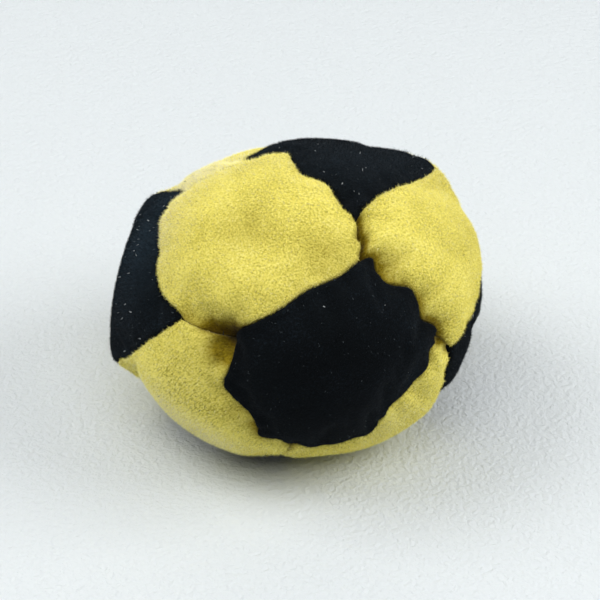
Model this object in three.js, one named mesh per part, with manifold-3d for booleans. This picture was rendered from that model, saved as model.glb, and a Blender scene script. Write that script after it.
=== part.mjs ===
// A fourteen-panel footbag. Six square and eight hexagonal suede panels are sewn together on the
// net of a truncated octahedron, turned right side out, filled and closed, so that every seam
// allowance and every stitch lies inside. The bag is modelled as it lies, slumped on a flat surface.
// Units are millimetres and degrees, +Z is up, and the origin is on that surface, below the bag's middle.

import * as THREE from "three";
import { mergeVertices } from "three/addons/utils/BufferGeometryUtils.js";
import Module from "manifold-3d";

// The slumped ball that the panels lie on
const bagWidth = 57; // left to right, across the crowns of the panels
const bagDepth = 57; // front to back
const bagHeight = 41.5; // from the surface to the crown
const footSink = 3.5; // how much of the round underside is pressed flat
const footRimHeight = 1.2; // the height over which that flat turns up at its rim
const lean = 0.05; // how much higher the ball settles on its right, for each millimetre to the right

// How the ball lies: turned about X, then Y, then Z
const tiltX = -21;
const tiltY = 16;
const turnZ = 13;

// The panels
const squareCornerAngle = 35.6; // from a square's middle to its corner, seen from the middle of the ball
const squareBow = 1.2; // how far a square's sides bow out
const suedeThickness = 1;
const seamDepth = 2.2; // how far a seam is drawn in below the crowns beside it
const shoulderWidth = 6; // how far from a seam a panel still curves down to it
const seamAllowance = 3.2; // the edge that is turned in along a seam
const seamGap = 0.3; // between two turned-in edges

// A bag sewn by hand is uneven: these corners of a square, named after the two squares between which their
// short seam runs, stray over the ball, to the right and upwards as seen from outside.
const strayCorners = {
  front_to_left: [1, 0],
  left_to_front: [0.7, 0.2],
  front_to_underside: [-0.7, -3.7],
  underside_to_front: [-0.5, -4],
  front_to_top: [1.2, 0.7],
  top_to_front: [-1, 0.2],
  front_to_right: [0.8, 2.7],
  right_to_front: [-3.6, 2.4],
  top_to_left: [-5.8, -2.6],
  left_to_top: [-4.6, -2.1],
  top_to_right: [3, 1],
  right_to_top: [2, 1],
};

// These sides of a square bow by another amount, inwards where a full hexagon pushes into the square.
const unevenBows = {
  front_to_upper_front_left: 0.5,
  front_to_lower_front_left: 2.5,
  front_to_lower_front_right: 3,
  top_to_upper_front_left: -1.5,
  top_to_upper_front_right: -0.5,
  left_to_upper_front_left: -1.5,
  left_to_lower_front_left: 0,
  left_to_upper_back_left: 2,
  right_to_upper_front_right: -0.5,
  underside_to_lower_front_left: -1.5,
  underside_to_lower_front_right: -1.5,
};

// The stitching
const threadDiameter = 0.5;
const threadClearance = 0.4; // between a thread and the suede that it runs along
const needleClearance = 0.2; // round a thread in its needle holes
const stitchPitch = 4.8;
const endPitches = 1; // from the end of a seam to its first needle hole, in pitches
const knotDiameter = 1.6; // wider than a needle hole, so that a thread's end holds
const knotLength = 1.1;

// The filling
const fillingClearance = 0.5;

// How finely the shapes are faceted
const longSeamSteps = 4;
const shortSeamSteps = 2;
const panelRings = [0.22, 0.56]; // shares of the way from a panel's edge to its middle
const fillingRings = [0.4];
const threadSides = 3;

const yellowSuede = new THREE.MeshStandardMaterial({ color: 0xe2d65f, roughness: 0.95, metalness: 0 });
const blackSuede = new THREE.MeshStandardMaterial({ color: 0x16181c, roughness: 0.95, metalness: 0 });
const waxedThread = new THREE.MeshStandardMaterial({ color: 0x2a2a26, roughness: 0.6, metalness: 0 });
const loosePellets = new THREE.MeshStandardMaterial({ color: 0xd8d4c8, roughness: 0.8, metalness: 0 });

const wasm = await Module();
wasm.setup();

// The ball's six square panels face along these axes before it is turned to lie as it does.
const squareAxes = {
  right: new THREE.Vector3(1, 0, 0),
  left: new THREE.Vector3(-1, 0, 0),
  back: new THREE.Vector3(0, 1, 0),
  front: new THREE.Vector3(0, -1, 0),
  top: new THREE.Vector3(0, 0, 1),
  underside: new THREE.Vector3(0, 0, -1),
};

const squareName = (axis) => Object.keys(squareAxes).find((name) => squareAxes[name].equals(axis));

// A hexagon fills the corner between three squares and is named after that corner.
function hexagonName(corner) {
  const level = corner.z > 0 ? "upper" : "lower";
  const face = corner.y < 0 ? "front" : "back";
  const side = corner.x < 0 ? "left" : "right";
  return `${level}_${face}_${side}`;
}

// Points are measured from the middle of the ball, which the part's frame puts this high.
const halfHeight = (bagHeight + footSink) / 2;
const middleHeight = bagHeight - halfHeight;
const halfSizes = new THREE.Vector3(bagWidth / 2, bagDepth / 2, halfHeight);
const lie = new THREE.Euler(...[tiltX, tiltY, turnZ].map(THREE.MathUtils.degToRad), "XYZ");

// The point of the smooth ball that lies the same way from its middle as the given one.
const onBall = (point) => point.clone().divideScalar(point.clone().divide(halfSizes).length());

// The skin over a point of the smooth ball, where a seam draws it in: the place and the way out of the bag.
// The underside is pressed flat on the surface, with a soft rim.
function skinAt(point, drawn) {
  const outwards = point.clone().divide(halfSizes).divide(halfSizes).normalize();
  const place = point.clone().addScaledVector(outwards, -drawn);
  place.z += lean * place.x;
  const height = place.z + middleHeight;
  if (height < footRimHeight) {
    const pressed = height < -footRimHeight ? 0 : (height + footRimHeight) ** 2 / (4 * footRimHeight);
    const flat = THREE.MathUtils.smoothstep(pressed - height, 0, footRimHeight);
    place.z = pressed - middleHeight;
    outwards.lerp(new THREE.Vector3(0, 0, -1), flat).normalize();
  }
  return { place, outwards };
}

// The point at a depth below the skin.
function below(point, drawn, depth) {
  const { place, outwards } = skinAt(point, drawn);
  return place.addScaledVector(outwards, -depth);
}

// Turns a direction on the round ball, before it is turned and slumped, into a point on the slumped one.
const slumped = (direction) => direction.clone().applyEuler(lie).multiply(halfSizes);

const cornerAngle = THREE.MathUtils.degToRad(squareCornerAngle);

// The corner of the square on axis p that points to the square on axis q.
function cornerOf(p, q) {
  const even = p.clone().multiplyScalar(Math.cos(cornerAngle)).addScaledVector(q, Math.sin(cornerAngle));
  const corner = slumped(even);
  const [sideways, upwards] = strayCorners[`${squareName(p)}_to_${squareName(q)}`] ?? [0, 0];
  const right = new THREE.Vector3(0, 0, 1).cross(corner).normalize();
  const up = skinAt(corner, 0).outwards.cross(right);
  return onBall(corner.addScaledVector(right, sideways).addScaledVector(up, upwards));
}

// Points along a seam from one corner to another, bowed out to its right.
function seamLine(from, to, steps, bow) {
  const right = to.clone().cross(from).normalize();
  return Array.from({ length: steps + 1 }, (_, i) => {
    const share = i / steps;
    const point = from.clone().lerp(to, share);
    return onBall(point.addScaledVector(right, bow * Math.sin(Math.PI * share)));
  });
}

// The seam between the square on axis p and the hexagon between p, q and r. The square lies to its left.
function longSeam(p, q, r) {
  const name = `${squareName(p)}_to_${hexagonName(p.clone().add(q).add(r))}`;
  return seamLine(cornerOf(p, q), cornerOf(p, r), longSeamSteps, unevenBows[name] ?? squareBow);
}

// The seam between two hexagons, from the square on axis p to the one on axis q.
const shortSeam = (p, q) => seamLine(cornerOf(p, q), cornerOf(q, p), shortSeamSteps, 0);

// Moves a closed outline on the ball inwards by a distance, with mitred corners.
function inset(outline, distance) {
  return outline.map((here, i) => {
    const before = outline.at(i - 1);
    const after = outline[(i + 1) % outline.length];
    const firstSide = before.clone().cross(here).normalize();
    const secondSide = here.clone().cross(after).normalize();
    const mitre = firstSide.clone().add(secondSide).divideScalar(1 + firstSide.dot(secondSide));
    return onBall(here.clone().addScaledVector(mitre, distance));
  });
}

const towards = (outline, target, share) => outline.map((point) => onBall(point.clone().lerp(target, share)));

// How far a panel's surface is drawn in at a distance from its seam: a quarter of an ellipse.
function drawnIn(distance) {
  const share = Math.max(0, 1 - distance / shoulderWidth);
  return seamDepth * (1 - Math.sqrt(1 - share * share));
}

function distanceToOutline(point, outline) {
  const nearest = new THREE.Vector3();
  const distances = outline.map((start, i) => {
    const side = new THREE.Line3(start, outline[(i + 1) % outline.length]);
    return side.closestPointToPoint(point, true, nearest).distanceTo(point);
  });
  return Math.min(...distances);
}

// A closed or open surface from a pole, through loops of as many points each, to another pole.
function loft(firstPole, loops, lastPole) {
  const count = loops[0].length;
  const triangles = [];
  for (let i = 0; i < count; i++) {
    const next = (i + 1) % count;
    triangles.push(firstPole, loops[0][i], loops[0][next]);
    for (let k = 0; k + 1 < loops.length; k++) {
      const [inner, outer] = [loops[k], loops[k + 1]];
      triangles.push(inner[i], outer[i], outer[next], inner[i], outer[next], inner[next]);
    }
    if (lastPole) triangles.push(lastPole, loops.at(-1)[next], loops.at(-1)[i]);
  }
  return new THREE.BufferGeometry().setFromPoints(triangles);
}

function solidOf(geometry) {
  const merged = mergeVertices(geometry, 1e-4);
  const vertProperties = merged.attributes.position.array;
  const triVerts = new Uint32Array(merged.index.array);
  return new wasm.Manifold(new wasm.Mesh({ numProp: 3, vertProperties, triVerts }));
}

function geometryOf(solid) {
  const { vertProperties, triVerts } = solid.getMesh();
  return new THREE.BufferGeometry()
    .setAttribute("position", new THREE.BufferAttribute(vertProperties, 3))
    .setIndex(new THREE.BufferAttribute(triVerts, 1));
}

// Every panel: its outline along its seams, anticlockwise seen from outside.
const panels = [];
const seams = [];

for (const [name, p] of Object.entries(squareAxes)) {
  const around = [new THREE.Vector3(p.y, p.z, p.x)];
  for (let i = 1; i < 4; i++) around.push(p.clone().cross(around[i - 1]));
  const outline = around.flatMap((q, i) => longSeam(p, q, around[(i + 1) % 4]).slice(0, -1));
  panels.push({ name: `black_panel_${name}`, material: blackSuede, middle: slumped(p), outline });
  around.forEach((q, i) => {
    const r = around[(i + 1) % 4];
    const hexagon = hexagonName(p.clone().add(q).add(r));
    seams.push({
      name: `thread_${name}_to_${hexagon}`,
      left: `black_panel_${name}`,
      right: `yellow_panel_${hexagon}`,
      line: longSeam(p, q, r),
    });
  });
}

for (const x of [1, -1]) {
  for (const y of [1, -1]) {
    for (const z of [1, -1]) {
      const axes = [new THREE.Vector3(x, 0, 0), new THREE.Vector3(0, y, 0), new THREE.Vector3(0, 0, z)];
      if (x * y * z < 0) axes.reverse();
      const corner = new THREE.Vector3(x, y, z);
      const outline = axes.flatMap((a, i) => {
        const [b, c] = [axes[(i + 1) % 3], axes[(i + 2) % 3]];
        return [...longSeam(a, b, c).reverse().slice(0, -1), ...shortSeam(a, b).slice(0, -1)];
      });
      const name = `yellow_panel_${hexagonName(corner)}`;
      panels.push({ name, material: yellowSuede, middle: slumped(corner.normalize()), outline });
    }
  }
}

for (const [p, q] of [
  ["front", "right"],
  ["right", "back"],
  ["back", "left"],
  ["left", "front"],
  ["top", "front"],
  ["top", "right"],
  ["top", "back"],
  ["top", "left"],
  ["underside", "front"],
  ["underside", "right"],
  ["underside", "back"],
  ["underside", "left"],
].map((pair) => pair.map((name) => squareAxes[name]))) {
  const side = p.clone().cross(q);
  const left = hexagonName(p.clone().add(q).add(side));
  const right = hexagonName(p.clone().add(q).sub(side));
  seams.push({
    name: `thread_${left}_to_${right}`,
    left: `yellow_panel_${left}`,
    right: `yellow_panel_${right}`,
    line: shortSeam(p, q),
  });
}

// One panel: a domed suede shell whose edge turns in along every seam.
function panelGeometry({ outline, middle }) {
  const drawn = (point) => drawnIn(distanceToOutline(point, outline));
  const outer = (point) => below(point, drawn(point), 0);
  const inner = (point) => below(point, drawn(point), suedeThickness);
  const edge = inset(outline, seamGap / 2);
  const rawEdge = (point, i) => below(point, drawn(edge[i]), seamAllowance);
  const turn = inset(outline, seamGap / 2 + suedeThickness);
  const rings = panelRings.map((share) => towards(turn, middle, share)).reverse();
  return loft(
    outer(middle),
    [
      ...[...rings, turn, edge].map((ring) => ring.map(outer)),
      edge.map(rawEdge),
      turn.map(rawEdge),
      ...[turn, ...rings.toReversed()].map((ring) => ring.map(inner)),
    ],
    inner(middle),
  );
}

// The stitches of one seam: evenly spaced needle holes, in pairs, halfway down the turned-in edges.
function stitchPlaces({ line }) {
  const depth = (suedeThickness + seamAllowance) / 2;
  const columns = line.map((point) => ({
    hole: below(point, seamDepth, depth),
    outwards: skinAt(point, seamDepth).outwards,
  }));
  const steps = columns.length - 1;
  const length = columns.slice(1).reduce((sum, { hole }, i) => sum + hole.distanceTo(columns[i].hole), 0);
  const pairs = Math.max(1, Math.round(length / (2 * stitchPitch)));
  return Array.from({ length: 2 * pairs }, (_, i) => {
    const share = ((i + endPitches) / (2 * pairs - 1 + 2 * endPitches)) * steps;
    const [start, end] = [columns[Math.floor(share)], columns[Math.floor(share) + 1]];
    const hole = start.hole.clone().lerp(end.hole, share % 1);
    const outwards = start.outwards.clone().lerp(end.outwards, share % 1).normalize();
    const left = outwards.clone().cross(end.hole.clone().sub(start.hole)).normalize();
    return { hole, outwards, left, along: left.clone().cross(outwards) };
  });
}

const suedeReach = seamGap / 2 + suedeThickness; // from the middle of a seam to the far face of one edge

// A leather needle is three-sided, and so is the hole that it cuts. A thread laid in it has three sides too.
function needleHole({ hole, outwards, along, left }) {
  const radius = threadDiameter / 2 + needleClearance / Math.cos(Math.PI / threadSides);
  const through = new THREE.CylinderGeometry(radius, radius, 2 * (suedeReach + threadClearance), threadSides);
  through.deleteAttribute("normal").deleteAttribute("uv");
  return through.applyMatrix4(new THREE.Matrix4().makeBasis(along, left, outwards).setPosition(hole));
}

// A ring of points round a bend of the thread, in the plane that halves the bend.
function threadRing({ point, outwards, before, after, radius }) {
  const way = before.clone().add(after).normalize();
  const sideways = way.clone().cross(outwards).normalize();
  const stretch = 1 / Math.max(way.dot(after), 0.5);
  return Array.from({ length: threadSides }, (_, i) => {
    const angle = Math.PI / 2 + (2 * Math.PI * i) / threadSides;
    return point
      .clone()
      .addScaledVector(sideways, radius * Math.cos(angle) * stretch)
      .addScaledVector(outwards, radius * Math.sin(angle));
  });
}

// One seam's thread: a running stitch through the needle holes, with a knot at each end on its right.
function threadGeometry(seam) {
  const reach = suedeReach + threadClearance + threadDiameter / 2;
  const places = stitchPlaces(seam);
  const bends = places.flatMap(({ hole, outwards, left }, i) => {
    const atEnd = [i === 0, i === places.length - 1];
    const ends = atEnd.map((last) => (last ? suedeReach + threadClearance : reach));
    const sides = i % 2 ? [reach, -ends[1]] : [-ends[0], reach];
    return sides.map((side) => ({ point: hole.clone().addScaledVector(left, side), outwards }));
  });
  const radius = threadDiameter / 2;
  const ways = bends.slice(1).map(({ point }, i) => point.clone().sub(bends[i].point).normalize());
  const rings = bends.map((bend, i) =>
    threadRing({ ...bend, before: ways[i - 1] ?? ways[i], after: ways[i] ?? ways[i - 1], radius }),
  );
  const knot = (bend, way, length) => {
    const point = bend.point.clone().addScaledVector(way, length / 2);
    const bead = threadRing({ ...bend, point, before: way, after: way, radius: knotDiameter / 2 });
    return { bead, tip: bend.point.clone().addScaledVector(way, length) };
  };
  const first = knot(bends[0], ways[0], -knotLength);
  const last = knot(bends.at(-1), ways.at(-1), knotLength);
  return loft(first.tip, [first.bead, ...rings, last.bead], last.tip);
}

// The settled filling: it fills each panel's dome and leaves a channel for every seam.
function fillingGeometry() {
  const channel = suedeReach + threadClearance + knotLength + fillingClearance;
  const patches = panels.map(({ outline, middle }) => {
    const drawn = (point) => drawnIn(distanceToOutline(point, outline));
    const low = (point) => below(point, seamDepth, seamAllowance + fillingClearance);
    const high = (point) => below(point, drawn(point), suedeThickness + fillingClearance);
    const bank = inset(outline, channel);
    const rings = fillingRings.map((share) => towards(bank, middle, share)).reverse();
    return loft(high(middle), [...rings.map((ring) => ring.map(high)), bank.map(low), outline.map(low)]);
  });
  const points = patches.flatMap((patch) => [...patch.attributes.position.array]);
  return new THREE.BufferGeometry().setAttribute("position", new THREE.Float32BufferAttribute(points, 3));
}

const bag = new THREE.Group();

function addPiece(name, geometry, material) {
  const piece = new THREE.Mesh(geometry, material);
  piece.name = name;
  bag.add(piece);
}

for (const panel of panels) {
  const holes = seams
    .filter(({ left, right }) => left === panel.name || right === panel.name)
    .flatMap((seam) => stitchPlaces(seam).map(needleHole));
  const shell = holes.reduce((solid, hole) => solid.subtract(solidOf(hole)), solidOf(panelGeometry(panel)));
  addPiece(panel.name, geometryOf(shell), panel.material);
}

for (const seam of seams) addPiece(seam.name, threadGeometry(seam), waxedThread);

addPiece("filling", fillingGeometry(), loosePellets);

// The bag stands on the surface, with the middle of its outline over the origin.
const outlineBox = new THREE.Box3().setFromObject(bag);
const outlineMiddle = outlineBox.getCenter(new THREE.Vector3());
bag.position.set(-outlineMiddle.x, -outlineMiddle.y, middleHeight);

const footbag = new THREE.Group();
footbag.add(bag);

export default footbag;
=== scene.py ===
# %% [markdown]
# A footbag is a small soft ball that is kept in the air with the feet. This one is sewn from six black
# squares and eight yellow hexagons of synthetic suede, on the net of a truncated octahedron, and loosely
# filled with pellets, so it slumps on the table. The solids of the bag are already packed as a fixed
# frame. This lesson dresses them: it cuts each panel finely, sews it along the uneven seams, lets cloth
# simulation puff it out, and gives it a nap of separate fibres.

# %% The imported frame
import math
from functools import partial

import bmesh
import bpy
import numpy as np
from mathutils import Matrix, Vector, geometry


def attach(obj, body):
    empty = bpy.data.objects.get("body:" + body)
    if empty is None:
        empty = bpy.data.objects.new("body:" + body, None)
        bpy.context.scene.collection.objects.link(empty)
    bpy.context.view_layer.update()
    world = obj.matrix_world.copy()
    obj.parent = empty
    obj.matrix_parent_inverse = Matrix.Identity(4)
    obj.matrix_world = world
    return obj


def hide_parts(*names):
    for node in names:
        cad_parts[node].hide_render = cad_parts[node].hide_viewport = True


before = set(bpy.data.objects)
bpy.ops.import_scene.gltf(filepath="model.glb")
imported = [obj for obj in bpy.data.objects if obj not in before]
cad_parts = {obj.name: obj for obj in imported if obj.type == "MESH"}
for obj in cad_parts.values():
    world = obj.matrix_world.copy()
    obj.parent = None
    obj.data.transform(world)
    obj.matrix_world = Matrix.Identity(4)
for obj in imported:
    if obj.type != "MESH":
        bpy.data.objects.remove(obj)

MM = 0.001
scene = bpy.context.scene


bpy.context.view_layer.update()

# %% [markdown]
# Sewn from an even net, the bag would be a round ball. Filled loosely and put down, it is wider than it
# is high, a little higher on its right, and flat where it rests. All of that could be sculpted, but one
# rule for the whole skin keeps neighbouring panels together: a flattened ball, turned the way the bag
# lies, and pressed flat at the foot.

# %% The ball that the bag slumps to
BALL_HALF_SIZES = np.array([28.5, 28.5, 22.5])
BALL_MIDDLE_HEIGHT = 19.0
FOOT_RIM_HEIGHT = 1.2
LEAN = 0.05
LIE_TURNS = (("X", -21), ("Y", 16), ("Z", 13))
TINY = 1e-9

lie_matrix = Matrix.Identity(3)
for turn_axis, degrees in LIE_TURNS:
    lie_matrix = lie_matrix @ Matrix.Rotation(math.radians(degrees), 3, turn_axis)
lie = np.array(lie_matrix)


def unit(vectors):
    return vectors / np.linalg.norm(vectors, axis=-1, keepdims=True)


def on_ball(points):
    return points / np.linalg.norm(points / BALL_HALF_SIZES, axis=-1, keepdims=True)


def slumped(directions):
    return (np.asarray(directions, float) @ lie.T) * BALL_HALF_SIZES


def net_direction(points):
    return unit((points / BALL_HALF_SIZES) @ lie)


def outwards_at(points):
    return unit(points / BALL_HALF_SIZES**2)


def settled(points):
    """Points of the round skin after the bag leans and its foot is pressed flat on the table."""
    placed = np.array(points, float)
    placed[..., 2] += LEAN * placed[..., 0] + BALL_MIDDLE_HEIGHT
    height = placed[..., 2]
    curved = (height + FOOT_RIM_HEIGHT) ** 2 / (4 * FOOT_RIM_HEIGHT)
    pressed = np.where(height < -FOOT_RIM_HEIGHT, 0, curved)
    placed[..., 2] = np.where(height < FOOT_RIM_HEIGHT, pressed, height)
    return placed


print("the ball's top is", round(BALL_MIDDLE_HEIGHT + BALL_HALF_SIZES[2], 1), "mm above the table")

# %% [markdown]
# On the net, each square has four corners, each named by its square and by the square that it points at.
# Two such corners, one from each square, end the short seam between two hexagons. Hand sewing pulls
# corners off the even net, so some are moved by a few millimetres to where the photograph shows them.

# %% The panels' corners
SIDES = {
    "right": (1, 0, 0), "left": (-1, 0, 0), "back": (0, 1, 0),
    "front": (0, -1, 0), "top": (0, 0, 1), "underside": (0, 0, -1),
}
SQUARE_CORNER_ANGLE = math.radians(35.6)
# Millimetres to the right and up, seen from outside the bag.
STRAY_CORNERS = {
    "front_to_left": (-0.1, -0.3), "left_to_front": (0.7, 0.2),
    "front_to_underside": (-0.7, -3.9), "underside_to_front": (-0.5, -4),
    "front_to_top": (1.3, 1.3), "top_to_front": (-1, 0.6),
    "front_to_right": (3.0, 3.1), "right_to_front": (-3.1, 2.9),
    "top_to_left": (-3.7, 1.0), "left_to_top": (-2.5, -0.7),
    "top_to_right": (3, 1), "right_to_top": (2, 1),
    "left_to_underside": (-1.5, -1.4),
}


def side_named(direction):
    return next(name for name, axis in SIDES.items() if np.allclose(axis, direction))


def squares_around(square):
    """The four squares that a square's corners point at, anticlockwise seen from outside."""
    x, y, z = SIDES[square]
    ring = [np.array((y, z, x))]
    for _ in range(3):
        ring.append(np.cross(SIDES[square], ring[-1]))
    return [side_named(direction) for direction in ring]


def hexagon_between(*squares):
    x, y, z = np.sum([SIDES[square] for square in squares], axis=0)
    level = "upper" if z > 0 else "lower"
    return f"{level}_{'front' if y < 0 else 'back'}_{'left' if x < 0 else 'right'}"


def corner_point(square, towards):
    middle, beside = np.array(SIDES[square]), np.array(SIDES[towards])
    even = slumped(np.cos(SQUARE_CORNER_ANGLE) * middle + np.sin(SQUARE_CORNER_ANGLE) * beside)
    right = unit(np.cross((0, 0, 1), even))
    up = np.cross(outwards_at(even), right)
    sideways, upwards = STRAY_CORNERS.get(f"{square}_to_{towards}", (0, 0))
    return on_ball(even + right * sideways + up * upwards)


corners = {(a, b): corner_point(a, b) for a in SIDES for b in squares_around(a)}
print("corners:", len(corners))

# %% [markdown]
# A seam sewn by hand is not a clean line. The stitches pull the edges in, and between them the suede
# bulges over, so each seam is scalloped. A sine wave would look like a machine, so the seams that the
# photograph shows have a few points of their own, and the hidden ones get seeded scallops of the same
# size. Both are joined by a smooth curve.

# %% The seam lines
SEAM_POINT_SPACING = 0.7
STITCH_PITCH = 4.6
FEWEST_STITCHES = 2
SCALLOPS_PER_STITCH = 1.6
SCALLOP_DEPTH = 0.5
SCALLOP_SCATTER = 0.2
SCALLOP_SEED = 14
SQUARE_BOW = 1.0
# For each point its share of the seam's length, and how far it lies towards the hexagon in millimetres.
SEEN_SEAMS = {
    "front_to_upper_front_left": {
        0.08: -0.4, 0.2: -0.7, 0.42: -0.1, 0.62: -0.4, 0.8: 0.1, 0.92: 0.7,
    },
    "front_to_upper_front_right": {
        0.06: 0.7, 0.14: 0.3, 0.23: -0.4, 0.3: -0.4, 0.37: 0.2, 0.44: 0.8, 0.5: 1.0,
        0.56: 0.8, 0.62: 0.1, 0.68: -0.4, 0.75: -0.5, 0.82: 0.2, 0.9: 1.4, 0.95: 1.3,
    },
    "front_to_lower_front_left": {
        0.1: 0.0, 0.2: 1.1, 0.26: 2.3, 0.32: 2.7, 0.45: 2.0, 0.6: 1.6, 0.68: 2.2,
        0.75: 3.1, 0.81: 2.8, 0.86: 1.2, 0.94: 0.5,
    },
    "front_to_lower_front_right": {
        0.05: 1.3, 0.13: 2.9, 0.25: 3.5, 0.37: 4.4, 0.44: 3.3, 0.5: 1.8, 0.6: 1.4,
        0.74: 1.2, 0.84: 0.7, 0.94: -0.4,
    },
    "top_to_upper_front_left": {
        0.08: -2.6, 0.15: -3.6, 0.25: -2.6, 0.35: -1.1, 0.45: -0.1, 0.51: 0.0, 0.6: -1.0,
        0.69: -0.9, 0.8: -0.1, 0.9: 0.5,
    },
    "top_to_upper_front_right": {0.1: -0.4, 0.22: -0.7, 0.35: -0.6, 0.65: 0.3, 0.9: 0.3},
    "top_to_upper_back_left": {0.3: 1.5, 0.6: 2.8, 0.8: 3.6, 0.9: 3.0, 0.96: 1.7},
    "left_to_upper_front_left": {
        0.1: -0.4, 0.2: -1.5, 0.34: -2.1, 0.5: -1.6, 0.6: -1.7, 0.8: -2.4, 0.92: -1.5,
    },
    "left_to_lower_front_left": {0.1: -1.0, 0.25: -0.3, 0.45: 0.1, 0.7: 0.2, 0.92: 0.1},
    "left_to_upper_back_left": {0.1: 0.9, 0.2: 1.8, 0.35: 3.2, 0.6: 2.4, 0.8: 1.2},
    "right_to_lower_front_right": {0.03: 0.2, 0.15: 1.8, 0.3: 3.0, 0.6: 1.9},
    "right_to_upper_front_right": {0.3: -2.2, 0.58: -2.2, 0.66: -1.1, 0.75: -0.6, 0.9: -0.2},
    "underside_to_lower_front_left": {0.3: -1.6, 0.6: -1.2, 0.85: -0.5},
    "underside_to_lower_front_right": {0.15: -0.5, 0.4: -1.2, 0.7: -1.6},
    "front_and_top": {0.5: -0.1},
    "left_and_front": {0.5: 0.1},
    "left_and_top": {0.5: 0.2},
    "right_and_front": {0.5: 0.2},
    "front_and_underside": {0.5: 0.1},
}


def smooth_through(shares, values, at):
    """A curve through the points that leaves each one in the direction of its neighbours."""
    slopes = np.gradient(values, shares)
    place = np.clip(np.searchsorted(shares, at, side="right") - 1, 0, len(shares) - 2)
    width = shares[place + 1] - shares[place]
    t = (at - shares[place]) / width
    return (
        (2 * t**3 - 3 * t**2 + 1) * values[place] + (t**3 - 2 * t**2 + t) * width * slopes[place]
        + (3 * t**2 - 2 * t**3) * values[place + 1] + (t**3 - t**2) * width * slopes[place + 1]
    )


def scallops(length, bow, chance):
    """Points of a hidden seam, at and between its stitches, off the line by chance."""
    count = max(FEWEST_STITCHES, round(length / STITCH_PITCH * SCALLOPS_PER_STITCH))
    shares = (np.arange(count) + 0.5 + chance.uniform(-SCALLOP_SCATTER, SCALLOP_SCATTER, count)) / count
    return dict(zip(shares, bow * np.sin(np.pi * shares) + SCALLOP_DEPTH * chance.normal(0, 1, count)))


def seam_line(start, end, points):
    shares = np.array([0, *points, 1])
    sideways = np.array([0, *points.values(), 0])
    count = math.ceil(np.linalg.norm(end - start) / SEAM_POINT_SPACING)
    at = np.linspace(0, 1, count + 1)
    right = unit(np.cross(end, start))
    line = start + (end - start) * at[:, None] + right * smooth_through(shares, sideways, at)[:, None]
    return on_ball(line)


seams = {}
chance = np.random.default_rng(SCALLOP_SEED)


def sew(name, start, end, bow):
    hidden = scallops(np.linalg.norm(end - start), bow, chance)
    seams[name] = seam_line(start, end, SEEN_SEAMS.get(name, hidden))


for square in SIDES:
    ring = squares_around(square)
    for before, after in zip(ring, ring[1:] + ring[:1]):
        name = f"{square}_to_{hexagon_between(square, before, after)}"
        sew(name, corners[square, before], corners[square, after], SQUARE_BOW)
for square, towards in corners:
    if f"{towards}_and_{square}" not in seams:
        sew(f"{square}_and_{towards}", corners[square, towards], corners[towards, square], 0)
print("seams:", len(seams))

# %% [markdown]
# A panel is what its seams enclose. A square has four long seams, and a hexagon has three long and three
# short ones in turn. Each panel is laid out flat around its middle, as a maker's pattern would be, because
# a mesh of even triangles is easy to make on a flat outline.

# %% The cut of a panel
PATTERN_RADIUS = 25.5
SEAM_GAP = 0.05


def panel_seams(panel):
    """The panel's seams in order, anticlockwise seen from outside, and whether each runs backwards."""
    if panel in SIDES:
        ring = squares_around(panel)
        pairs = zip(ring, ring[1:] + ring[:1])
        return [(f"{panel}_to_{hexagon_between(panel, a, b)}", False) for a, b in pairs]
    level, depth, side = panel.split("_")
    squares = [side, depth, "top" if level == "upper" else "underside"]
    if np.linalg.det([SIDES[square] for square in squares]) < 0:
        squares.reverse()
    edges = []
    for square, following in zip(squares, squares[1:] + squares[:1]):
        edges.append((f"{square}_to_{panel}", True))
        forwards = f"{square}_and_{following}" in seams
        pair = (square, following) if forwards else (following, square)
        edges.append(("_and_".join(pair), not forwards))
    return edges


def panel_axes(panel):
    """The panel's middle direction on the net, with directions across and up the pattern."""
    words = [panel]
    if panel not in SIDES:
        words = ["top" if "upper" in panel else "underside", *panel.split("_")[1:]]
    middle = unit(np.sum([SIDES[word] for word in words], axis=0).astype(float))
    beside = (0, 1, 0) if panel in ("top", "underside") else (0, 0, 1)
    across = unit(np.cross(beside, middle))
    return middle, across, np.cross(middle, across)


def to_pattern(points, panel):
    middle, across, up = panel_axes(panel)
    direction = net_direction(points)
    angle = np.arccos(np.clip(direction @ middle, -1, 1))
    flat = np.stack([direction @ across, direction @ up], axis=-1)
    return flat * (PATTERN_RADIUS * angle / np.maximum(np.linalg.norm(flat, axis=-1), TINY))[:, None]


def from_pattern(flat, panel):
    middle, across, up = panel_axes(panel)
    angle = np.linalg.norm(flat, axis=-1) / PATTERN_RADIUS
    heading = flat / np.maximum(np.linalg.norm(flat, axis=-1), TINY)[:, None]
    direction = np.outer(np.cos(angle), middle)
    direction += np.sin(angle)[:, None] * (heading[:, :1] * across + heading[:, 1:] * up)
    return slumped(direction)


def panel_outline(panel):
    """The flat outline, and for each of its points the number of its seam and the distance sewn so far."""
    flat, numbers, lengths = [], [], []
    for number, (seam, backwards) in enumerate(panel_seams(panel)):
        line = seams[seam][::-1] if backwards else seams[seam]
        steps = np.linalg.norm(np.diff(line, axis=0), axis=1)
        walked = np.concatenate([[0], np.cumsum(steps)])
        flat.append(to_pattern(line, panel)[:-1])
        numbers.append(np.full(len(line) - 1, number))
        lengths.append((walked[-1] - walked if backwards else walked)[:-1])
    flat = np.concatenate(flat)
    inset = 1 - SEAM_GAP / np.linalg.norm(flat, axis=1)
    return flat * inset[:, None], np.concatenate(numbers), np.concatenate(lengths)


HEXAGONS = {
    hexagon_between(x, y, z)
    for x in ("left", "right") for y in ("front", "back") for z in ("top", "underside")
}
PANELS = [*SIDES, *sorted(HEXAGONS)]
for panel in ("front", "upper_front_left"):
    print(panel, "outline points:", len(panel_outline(panel)[0]))

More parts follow.
